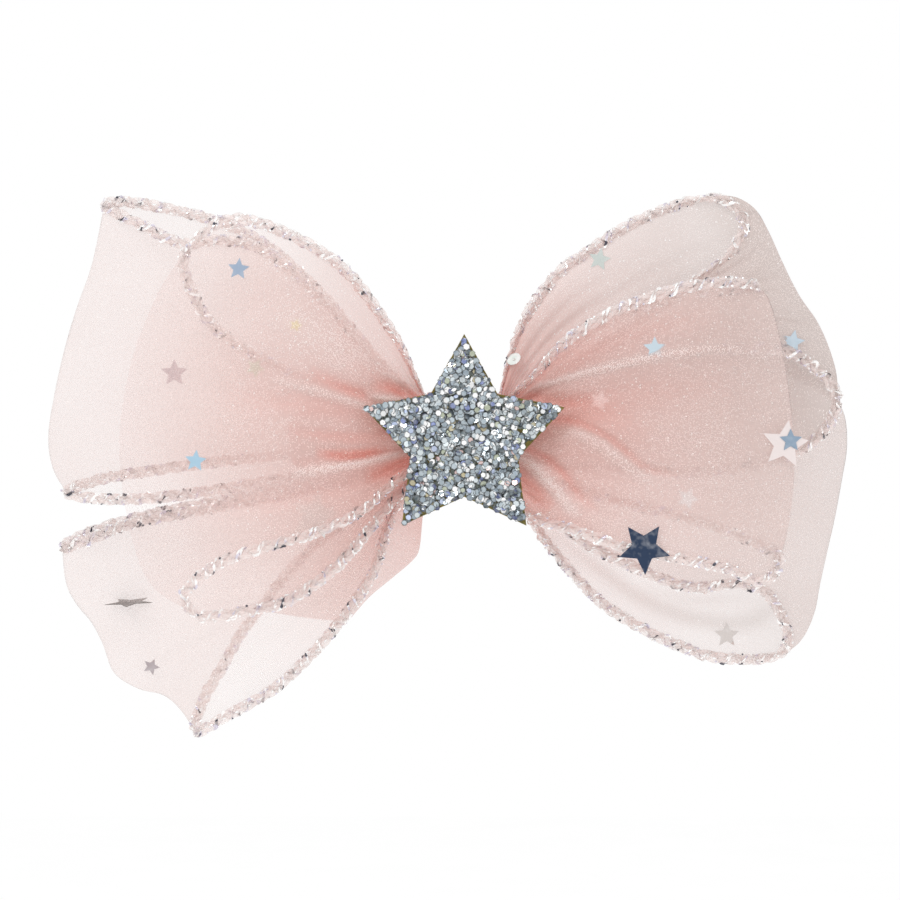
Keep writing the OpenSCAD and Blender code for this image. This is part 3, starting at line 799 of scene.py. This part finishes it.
def braid(path, across, name, slim, roll):
    """A plait of three yarns with two flat metallic threads and beads, along a ribbon's edge.

    It is drawn in to the share slim where the gathers pinch it at the waist, and sooner along
    the rear layer if roll is 1. Returns the yarns, threads and each yarn point's pinch.
    """
    count = int(lengths(path)[-1] / BRAID_STEP)
    both = resample(np.hstack([path, across]), count)
    path, across = both[:, :3], unit(both[:, 3:])
    way = unit(np.gradient(path, axis=0))
    across = unit(across - way * (across * way).sum(1, keepdims=True))
    out = np.cross(way, across)
    at = lengths(path)[:, None]
    reach = np.hypot(path[:, :1], path[:, 2:])
    rear = np.clip((at / at[-1] - 0.56) / 0.1, 0, 1)
    pinch = 1 - np.clip((reach - 9) / (11 + 14 * rear * roll), 0, 1)
    size = 1 - (1 - slim) * pinch
    rng = random.Random(name)
    rows = [rng.uniform(0, 90) for _ in range(3)]
    wobble = np.array([[noise.noise(Vector((a * 0.6, 0, row))) for a in at[:, 0]]
                       for row in rows])
    strands, threads = [], []
    for k in range(3):
        turn = 2 * math.pi * (at / BRAID_PITCH + k / 3)
        line = (path + across * BRAID_W * size * np.sin(turn) * (1 + 0.25 * wobble[0][:, None])
                + out * BRAID_H * size * np.sin(2 * turn))
        strands.append(tube(line, YARN_R * size[:, 0], YARN_SIDES))
    for k in range(2):
        turn = 2 * math.pi * (at / (GLINT_PITCH * (1 + 0.3 * k)) + k / 2 + 0.15)
        line = (path + across * (BRAID_W + 0.22) * size * np.sin(turn)
                + out * (BRAID_H + 0.24) * size * np.cos(turn + 3 * wobble[1][:, None]))
        spin = 2 * math.pi * at[:, 0] / 1.9 + 4 * wobble[k]
        threads.append(tube(line, GLINT_R * size[:, 0] ** 2, 4, flat=0.25, twist=spin))
    for side in (-1, 1):
        spot = rng.uniform(0, BEAD_GAP)
        while spot < at[-1, 0]:
            i = int(spot / at[-1, 0] * (count - 1))
            rise = rng.choice((-1, 1)) * (BRAID_H + 0.16)
            place = path[i] + (across[i] * side * (BRAID_W + 0.1) + out[i] * rise) * size[i]
            threads.append(bead(place, way[i], BEAD_R * size[i, 0]))
            spot += BEAD_GAP * rng.uniform(0.7, 1.3)
    return strands, threads, np.tile(np.repeat(pinch[:, 0], YARN_SIDES), 3)


def strand_places(strands):
    """How far along its yarn, in metres, and how far round it each yarn point is."""
    values = []
    for v, _ in strands:
        at = lengths(v.reshape(-1, YARN_SIDES, 3).mean(axis=1)) * MM
        u, r = np.meshgrid(at, np.arange(YARN_SIDES) / YARN_SIDES, indexing="ij")
        values.append(np.stack([u.ravel(), r.ravel()], axis=1))
    return np.vstack(values)


def veil_on(name, grid):
    """How much more cover than plain cloth a loop shows at each grid point; where positive the
    organza also greys with it, as painted shade.
    """
    veil_and_shade = np.interp(np.arange(ROWS + 1) / ROWS, [0.0, 0.26, 0.42, 0.58, 0.74, 1.0],
                     np.repeat(LOOPS[name]["veil_and_shade"], 2))
    veil_and_shade = veil_and_shade[:, None] * np.ones(COLS + 1)
    rear = grid[FOLD_ROW:]
    for width, deep, points in SHADES.get(name, []):
        near, along = distance_to(spline(points, 12), rear[:, :, 0], rear[:, :, 2])
        ends = np.sin(math.pi * np.clip(along, 0.05, 0.95)) ** 0.5
        veil_and_shade[FOLD_ROW:] += deep * ends * np.exp(-(near / width) ** 2)
    return veil_and_shade


def make_loop(name):
    """One ribbon loop and the braids along its two edges."""
    grid, gather, fold = loop_grid(name)
    obj = add_piece("ribbon_" + name, (grid.reshape(-1, 3), grid_faces(ROWS, COLS)), "organza",
                    "organza", "loop_" + name)
    for value, values in (("gather", gather), ("fold", fold), ("veil_and_shade", veil_on(name, grid))):
        point_values(obj, value, values)
    # The weave and glitter follow the flat ribbon, in metres
    along = lengths(grid[:, COLS // 2])
    flat = np.meshgrid(along, np.linspace(0, RIBBON_W, COLS + 1), indexing="ij")
    uv_map(obj, "cloth", np.stack([v.ravel() for v in flat], axis=1) * MM)
    yarns, metal, pinches = [], [], []
    top_slim, bottom_slim, top_roll, bottom_roll = LOOPS[name]["pinch"]
    for edge, inner, slim, roll in ((0, 2, top_slim, top_roll),
                                    (COLS, COLS - 2, bottom_slim, bottom_roll)):
        strands, threads, pinch = braid(grid[:, edge], grid[:, inner] - grid[:, edge],
                                        name + str(edge), slim, roll)
        yarns += strands
        metal += threads
        pinches.append(pinch)
    yarn_obj = add_piece("yarn_" + name, joined(yarns), "yarn", "braid", "edging_" + name)
    point_values(yarn_obj, "pinch", np.concatenate(pinches))
    uv_map(yarn_obj, "strand", strand_places(yarns))
    metal_obj = add_piece("lurex_" + name, joined(metal), "lurex", "foil", smooth=False)
    return grid


grids = {name: make_loop(name) for name in LOOPS}


# ---------------------------------------------------------------- foil stars and sequin

def star_outline(outer, inner, points=5):
    angle = math.pi / 2 + np.arange(2 * points) * math.pi / points
    radius = np.where(np.arange(2 * points) % 2 == 0, outer, inner)
    return np.stack([radius * np.cos(angle), radius * np.sin(angle)], axis=1)


def plate(outline, thick, bend=0.0):
    """A thin plate of the outline, in its own plane, bent a little along its first axis."""
    n = len(outline)
    rise = bend * outline[:, 0] ** 2
    front = np.column_stack([outline, rise - thick / 2])
    back = np.column_stack([outline, rise + thick / 2])
    centre = np.array([[0, 0, -thick / 2], [0, 0, thick / 2]])
    verts = np.vstack([front, back, centre])
    faces = []
    for k in range(n):
        m = (k + 1) % n
        faces += [[2 * n, m, k], [2 * n + 1, n + k, n + m], [k, m, n + m, n + k]]
    return verts, faces


def surface(name):
    """A search tree over one loop's ribbon, in millimetres."""
    points = [Vector(p) for p in grids[name].reshape(-1, 3)]
    return BVHTree.FromPolygons(points, grid_faces(ROWS, COLS).tolist())


TREES = {name: surface(name) for name in LOOPS}


def on_ribbon(name, x, z, layer):
    """Where the line of sight at x, z meets a loop's front or rear layer, and its normal."""
    start = Vector((x, -60, z))
    hits = []
    while True:
        place, normal, _, _ = TREES[name].ray_cast(start, Vector((0, 1, 0)))
        if place is None:
            break
        hits.append((place, normal if normal.y < 0 else -normal))
        start = place + Vector((0, 0.05, 0))
    if not hits:
        place, normal, _, _ = TREES[name].find_nearest(Vector((x, -14, z)))
        return place, normal if normal.y < 0 else -normal
    return hits[-1] if layer == "rear" else hits[0]


def set_on(place, normal, shape, lift, spin=0.0):
    """Moves a flat plate onto a surface, its back to the cloth."""
    normal = normal.normalized()
    right = Vector((0, 0, 1)).cross(-normal).normalized()
    up = (-normal).cross(right)
    c, s = math.cos(spin), math.sin(spin)
    right, up = right * c + up * s, up * c - right * s
    base = place + normal * lift
    basis = np.array([right, up, -normal])
    return np.asarray(shape) @ basis + np.array(base)


# A star that lies across the ribbon's fold or its braided edge: how much of the cloth's slope
# it takes, and how far the braid lifts it
ACROSS = {"fold": (0.15, 0.0), "edge": (0.5, 0.45)}

TOWARD = Vector((0, -1, 0))   # to the viewer

# Foil stars: loop, x, z, radius, spin, how it lies, tint
FOIL = {
    "left": [
        ("left_front", -30.1, 22.8, 1.5, 0.1, "front", (168, 184, 206)),
        ("left_upper", -39.7, 9.2, 1.9, 0.0, "rear", (206, 198, 206)),
        ("left_front", -27.9, 9.6, 1.35, 0.5, "inside", (224, 222, 206)),
        ("left_front", -35.8, -2.8, 1.5, 0.1, "front", (176, 208, 228)),
        ("left_front", -20.1, -10.1, 3.4, 0.2, "inside", (236, 234, 232)),
        ("left_front", -22.5, 15.3, 0.9, 0.3, "inside", (246, 240, 180)),
        ("left_lower", -43.2, -31.3, 1.2, 0.4, "front", (176, 164, 166)),
    ],
    "right": [
        ("right_front", 25.4, 12.2, 1.6, 0.0, "front", (206, 222, 232)),
        ("right_front", 18.2, 5.3, 1.5, 0.3, "inside", (255, 250, 250)),
        ("right_front", 42.8, -0.6, 3.3, 0.15, "fold", (244, 232, 230)),
        ("right_upper", 44.8, 13.4, 1.7, 0.2, "front", (200, 216, 228)),
        ("right_front", 24.2, -14.4, 3.6, 0.6, "edge", (44, 60, 86)),
        ("right_front", 29.8, -7.8, 1.6, 0.4, "inside", (248, 252, 254)),
        ("right_lower", 36.6, -27.1, 1.8, 0.0, "rear", (226, 218, 214)),
        ("right_upper", 18.6, 24.8, 1.6, 0.2, "rear", (214, 222, 218)),
    ],
}


def under_star(loop, x, z, radius):
    """Points of a loop's front layer straight behind a star, leaving out any that it overhangs."""
    middle = on_ribbon(loop, x, z, "front")[0]
    reach = (-0.8 * radius, 0, 0.8 * radius)
    spots = [on_ribbon(loop, x + a, z + b, "front")[0] for a in reach for b in reach]
    return np.array([p for p in spots if abs(p.y - middle.y) < radius])


def lying_on(spots, x, z, lean):
    """How a star lies on the points, as its place at x, z, its facing and how far they lift it.

    lean is how much of the cloth's slope it takes, from 0, facing the viewer, to 1.
    """
    flat = np.column_stack([np.ones(len(spots)), spots[:, 0] - x, spots[:, 2] - z])
    fit = np.linalg.lstsq(flat, spots[:, 1], rcond=None)[0]
    fit[1:] *= lean
    rise = (flat @ fit - spots[:, 1]).max()
    return Vector((x, fit[0], z)), Vector((fit[1], -1, fit[2])), rise


def make_foil(side):
    parts, tints = [], []

    def star(radius, place, normal, lift, spin, tint, bend=0.012):
        verts, faces = plate(star_outline(radius, radius * 0.47), 0.06, bend)
        parts.append((set_on(place, normal, verts, lift, spin), faces))
        tints.extend([rgb(*tint)[:3]] * len(verts))

    for loop, x, z, radius, spin, layer, tint in FOIL[side]:
        if layer in ACROSS:
            lean, lift = ACROSS[layer]
            place, facing, rise = lying_on(under_star(loop, x, z, radius), x, z, lean)
            star(radius, place, facing, rise + 0.12 + lift, spin, tint)
        elif layer == "inside":
            depth = under_star(loop, x, z, radius)[:, 1].max()
            star(radius, Vector((x, depth, z)), TOWARD, -0.2, spin, tint)
        else:
            place, normal = on_ribbon(loop, x, z, layer)
            star(radius, place, normal + 2.5 * TOWARD, 0.12, spin, tint)
    if side == "right":
        # A small blue-grey star lies on the largest pale one
        place, facing, rise = lying_on(under_star("right_front", 42.8, -0.6, 3.3), 43.5, -0.1,
                                       ACROSS["fold"][0])
        star(1.6, place, facing, rise + 0.25, 0.0, (150, 170, 190))
    if side == "left":
        # One star stands on edge in the lower loop
        place, normal = on_ribbon("left_lower", -46.2, -22.4, "front")
        tilt = Vector((normal.x + 0.1, normal.y * 0.12, normal.z + 0.9))
        star(3.5, place, tilt, 0.0, 0.3, (120, 112, 108), 0.0)
    obj = add_piece("foil_" + side, joined(parts), "foil", "foil", "foil_stars_" + side,
                    smooth=False)
    point_colours(obj, "tint", tints)


def make_sequin():
    """A cupped sequin with a stitch across its hole."""
    rings, sides = 7, 40
    outer, hole, cup, thick = 1.02, 0.14, 0.16, 0.07
    angle = np.arange(sides) * 2 * math.pi / sides
    radii = np.linspace(hole, outer, rings)
    verts = [np.column_stack([r * np.cos(angle), r * np.sin(angle),
                              np.full(sides, -cup * (r / outer) ** 2 - lift)])
             for lift, order in ((0, radii), (thick, radii[::-1])) for r in order]
    disc = np.vstack(verts), ring_faces(2 * rings, sides, closed=True, flip=True)
    stitch = tube([(-0.3, -0.3, -0.02), (-0.1, -0.1, -0.2), (0.1, 0.1, -0.2), (0.3, 0.3, -0.02)],
                  0.05, 8)
    verts, faces = joined([disc, stitch])
    place, _ = on_ribbon("right_upper", 7.2, 10.6, "rear")
    facing = Vector((-0.41, -0.71, 0.58))
    add_piece("cup_sequin", (set_on(place, facing, verts, 0.7), faces), "sequin", "sequin",
              "sequin")


make_foil("left")
make_foil("right")
make_sequin()


# ---------------------------------------------------------------- glitter star

FLAKES = 1750
# Share of the flakes, and tint
FLAKE_TINTS = [
    (0.24, (172, 186, 194)), (0.19, (138, 154, 166)), (0.15, (206, 216, 220)),
    (0.16, (254, 255, 255)), (0.08, (88, 102, 108)), (0.04, (176, 184, 160)),
    (0.04, (190, 204, 234)), (0.04, (120, 136, 190)), (0.02, (184, 174, 138)),
    (0.02, (224, 192, 188)), (0.02, (62, 76, 122)),
]


def inside_star(x, z, outline, inset):
    """True where x, z lies inside a star outline, at least inset from its edges."""
    clear = np.inf
    inside = False
    n = len(outline)
    for k in range(n):
        a, b = outline[k], outline[(k + 1) % n]
        edge = b - a
        share = min(max(((x - a[0]) * edge[0] + (z - a[1]) * edge[1]) / (edge @ edge), 0), 1)
        clear = min(clear, math.hypot(x - a[0] - share * edge[0], z - a[1] - share * edge[1]))
        if (a[1] > z) != (b[1] > z) and x < a[0] + (z - a[1]) * edge[0] / edge[1]:
            inside = not inside
    return inside and clear > inset


def make_backing():
    """The foam star under the glitter: knife-cut edges with soft arrises."""
    centre, half = node_box("star_backing")
    star = star_outline(14.25, 7.65)
    along = np.linspace(0, 1, 24, endpoint=False)[:, None]
    points = np.vstack([a + (b - a) * along for a, b in zip(star, np.roll(star, -1, 0))])
    ragged = np.array([1 + 0.006 * noise.noise(Vector((x, z, 4.0)) * 1.3) for x, z in points])
    points = points * ragged[:, None]
    # Share of the outline's size, and level from the front face, 0, to the back face, 1
    profile = [(0.0, 0.0), (0.5, 0.0), (0.985, 0.0), (0.996, 0.1), (0.985, 0.5), (0.996, 0.9),
               (0.985, 1.0), (0.5, 1.0), (0.0, 1.0)]
    rings = [np.insert(points * share, 1, centre[1] + half[1] * (2 * level - 1), axis=1)
             for share, level in profile]
    obj = add_piece("foam_star", (np.vstack(rings), ring_faces(len(profile), len(points))), "foam",
                    "star_foam", "star_backing", smooth=False)


def flake(radius):
    """A hexagonal flake: a bright face inside a dark cut rim. The face's six points are first."""
    hexagon = star_outline(1.0, 1.0, points=3)
    thick = 0.035
    rings = [(0.80, -thick), (0.82, -thick), (1.0, -thick * 0.5), (1.0, thick * 0.5)]
    verts = np.vstack([np.column_stack([hexagon * radius * share, np.full(6, rise)])
                       for share, rise in rings])
    return verts, ring_faces(len(rings), 6, capped=True)


def make_glitter():
    """A dark bed under layers of tilted hexagonal flakes."""
    centre, half = node_box("star_glitter")
    front, back = centre[1] - half[1], centre[1] + half[1]
    bed_front = front + 0.75
    verts, faces = plate(star_outline(13.6, 7.3), back - bed_front)
    place = Vector((0, (bed_front + back) / 2, 0))
    add_piece("glitter_bed", (set_on(place, TOWARD, verts, 0.0), faces), "bed", "glitter",
              smooth=False)
    rng = random.Random(77)
    limits = star_outline(14.2, 7.6)
    tints, parts = [], []
    while len(parts) < FLAKES:
        x, z = rng.uniform(-14, 14), rng.uniform(-12, 14)
        if not inside_star(x, z, limits, 0.2):
            continue
        radius = rng.choice((0.40, 0.45, 0.48, 0.52))
        lean = rng.gauss(0, 0.24), rng.gauss(0, 0.24)
        if rng.random() < 0.16:
            lean = rng.uniform(-0.9, 0.9), rng.uniform(-0.9, 0.9)
        normal = Vector((lean[0], -1, lean[1]))
        place = Vector((x, front + 0.08 + 0.62 * rng.random() ** 1.4, z))
        body, sides = flake(radius)
        parts.append((set_on(place, normal, body, 0.0, rng.uniform(0, 2 * math.pi)), sides))
        pick, total = rng.random(), 0
        for share, tint in FLAKE_TINTS:
            total += share
            if pick <= total:
                break
        shade = rng.uniform(0.85, 1.1)
        face = [min(c * shade, 1) for c in rgb(*tint)[:3]]
        tints += [face] * 6 + [[c * 0.25 for c in face]] * (len(body) - 6)
    obj = add_piece("glitter_flakes", joined(parts), "flakes", "glitter", "star_glitter",
                    smooth=False)
    point_colours(obj, "tint", tints)


make_backing()
make_glitter()


# ---------------------------------------------------------------- waist

def rounded_loop(half_w, half_h, corner, count):
    """A rounded rectangle as evenly spaced points round its centre."""
    points = []
    for right, up, first in ((1, 1, 0), (-1, 1, 90), (-1, -1, 180), (1, -1, 270)):
        for a in np.radians(first + np.linspace(0, 90, 12)):
            points.append((right * (half_w - corner) + corner * math.cos(a),
                           up * (half_h - corner) + corner * math.sin(a)))
    points.append(points[0])
    return resample(np.array(points), count + 1)[:-1]


def outward(outline):
    """Unit vectors that point out of a closed outline at each of its points."""
    way = np.roll(outline, -1, 0) - np.roll(outline, 1, 0)
    return unit(np.stack([way[:, 1], -way[:, 0]], axis=1))


def make_band():
    """The gathered satin band round the waist, with folds that run round it."""
    centre, half = node_box("centre_band")
    around, wide, half_w = 220, 44, 5.0
    wrinkle, thick = 0.22, 0.35
    outline = rounded_loop(half[1] - 0.02, half[2] - 0.02, 3.2, around)
    out = outward(outline)
    turn = 2 * math.pi * np.arange(around) / around
    rng = random.Random(4)
    waves = [(rng.uniform(1.2, 4.5), rng.uniform(0, 6.28), rng.uniform(-0.35, 0.35))
             for _ in range(4)]
    rings = []
    for inset, order in ((0, range(wide + 1)), (thick, range(wide, -1, -1))):
        for i in order:
            v = 2 * i / wide - 1
            fold = sum(np.sin(f * v * math.pi + p + 6.28 * d * np.sin(turn))
                       for f, p, d in waves) / 4
            lift = wrinkle * (fold - 1) - inset - 0.5 * wrinkle * abs(v) ** 6
            place = centre[1:] + outline + out * lift[:, None]
            rings.append(np.column_stack([np.full(around, half_w * v), place]))
    obj = add_piece("waist_band", (np.vstack(rings), ring_faces(len(rings), around, closed=True)),
                    "satin", "satin_ribbon", "centre_band")


def make_thread():
    """Thread wound tight round the gathers, under the band."""
    centre, half = node_box("binding_thread")
    turns, per_turn, wound_w = 9, 60, 3.6
    ring = rounded_loop(half[1] - 0.2, half[2] - 0.2, 3.2, per_turn)
    path = []
    for k in range(turns * per_turn + 1):
        y, z = ring[k % per_turn]
        path.append((wound_w * (k / (turns * per_turn) - 0.5), centre[1] + y, centre[2] + z))
    add_piece("wound_thread", tube(path, 0.19, 8), "thread", "thread", "binding_thread")


def make_gather():
    """The ribbon's crossings inside the waist: a pleated bundle."""
    centre, half = node_box("waist_gather")
    around, wide, pleats = 260, 24, 34
    outline = rounded_loop(half[1] - 0.5, half[2] - 0.5, 3.0, around)
    out = outward(outline)
    turn = np.arange(around) / around
    rings = []
    for v in np.linspace(-1, 1, wide + 1):
        rise = 0.35 * np.sin(2 * math.pi * pleats * turn + 0.6 * math.sin(3 * v))
        place = centre[1:] + outline * (1 - 0.10 * (1 - v * v)) + out * rise[:, None]
        rings.append(np.column_stack([np.full(around, half[0] * v), place]))
    add_piece("pleated_waist", (np.vstack(rings), ring_faces(wide + 1, around, capped=True)),
              "satin", "organza", "waist_gather")


make_gather()
make_thread()
make_band()


# ---------------------------------------------------------------- pad and clip

def make_felt():
    """The felt pad: an oval slab with rounded rims and a slightly uneven face."""
    centre, half = node_box("felt_pad")
    around, rim, sag = 160, 6, 0.12
    outline = rounded_loop(half[0], half[2], 4.2, around)
    edge = min(half[1], 0.7)
    # Share of the outline's size, and level from the front face, -1, to the back face, 1
    profile = [(0.0, -1), (0.45, -1), (0.8, -1)]
    profile += [(1 - edge / half[2] * (1 - math.sin(a)), -math.cos(a)) for a in
                np.linspace(0, math.pi, 2 * rim)]
    profile += [(0.8, 1), (0.45, 1), (0.0, 1)]
    rings = []
    for share, level in profile:
        inward = outline * share
        bumps = np.array([noise.noise(Vector((x * 0.5, z * 0.5, 9 + level))) for x, z in inward])
        y = centre[1] + level * half[1] - level * sag * np.abs(bumps)
        rings.append(np.column_stack([centre[0] + inward[:, 0], y, centre[2] + inward[:, 1]]))
    obj = add_piece("felt_oval", (np.vstack(rings), ring_faces(len(rings), around, flip=True)),
                    "felt", "felt", "felt_pad")


def make_cover():
    """The ribbon folded and glued round the upper jaw, from its tip to the hinge."""
    centre, half = node_box("clip_cover")
    tip, length = centre[0] - half[0], 2 * half[0]
    corner, thick, around, along = 2.9, 0.37, 120, 110
    rings = []
    for inset, order in ((0.0, range(along + 1)), (thick, range(along, -1, -1))):
        for i in order:
            from_tip = inset * (1 - i / along) + length * i / along
            d = min(from_tip - inset, corner)
            wide = half[2] - inset - corner + math.sqrt(corner ** 2 - (corner - d) ** 2)
            wide = max(wide, half[2] - corner)
            ring = rounded_loop(half[1] - inset, wide, min(0.38, half[1] - inset - 0.02), around)
            if inset == 0:
                crumple = [noise.noise(Vector(((tip + from_tip) * 0.8, y * 1.6, z * 0.8)))
                           for y, z in ring]
                ring = ring * (1 - 0.035 * np.abs(crumple))[:, None]
            rings.append(np.column_stack([np.full(around, tip + from_tip), centre[1] + ring[:, 0],
                                          ring[:, 1]]))
    obj = add_piece("clip_ribbon", (np.vstack(rings), ring_faces(len(rings), around, capped=True)),
                    "satin", "satin_ribbon", "clip_cover")


def make_spring():
    """The torsion spring: a coil round the hinge pin with a straight leg at each end."""
    pin = np.array(frame["joints"][0]["pos_m"]) / MM
    centre, box_half = node_box("torsion_spring")
    turns, per_turn, coil_r, wire_r, half, leg = 5, 40, 1.4, 0.25, 1.5, 5.5
    tab = math.radians(21)
    path = [(pin[0] + leg, centre[1] - box_half[1] + wire_r, -half)]
    for f in np.linspace(0, 1, turns * per_turn + 1):
        a = -math.pi / 2 + f * (2 * math.pi * turns + math.pi + tab)
        path.append((pin[0] + coil_r * math.cos(a), pin[1] + coil_r * math.sin(a),
                     -half + 2 * half * f))
    a = math.pi / 2 + tab
    path.append((pin[0] + coil_r * math.cos(a) + leg * math.cos(tab),
                 pin[1] + coil_r * math.sin(a) + leg * math.sin(tab) - 0.9, half))
    obj = add_piece("coil_spring", tube(path, wire_r, 10), "wire", "spring_steel",
                    "torsion_spring", body=None)
    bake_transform(obj)


make_cover()
make_felt()
for node_name, look in (("clip_upper_jaw", "nickel"), ("clip_lower_jaw", "nickel"),
                        ("hinge_pin", "nickel"), ("star_glue", "glue")):
    dress(frame["nodes"][node_name], MATERIALS[look])
make_spring()
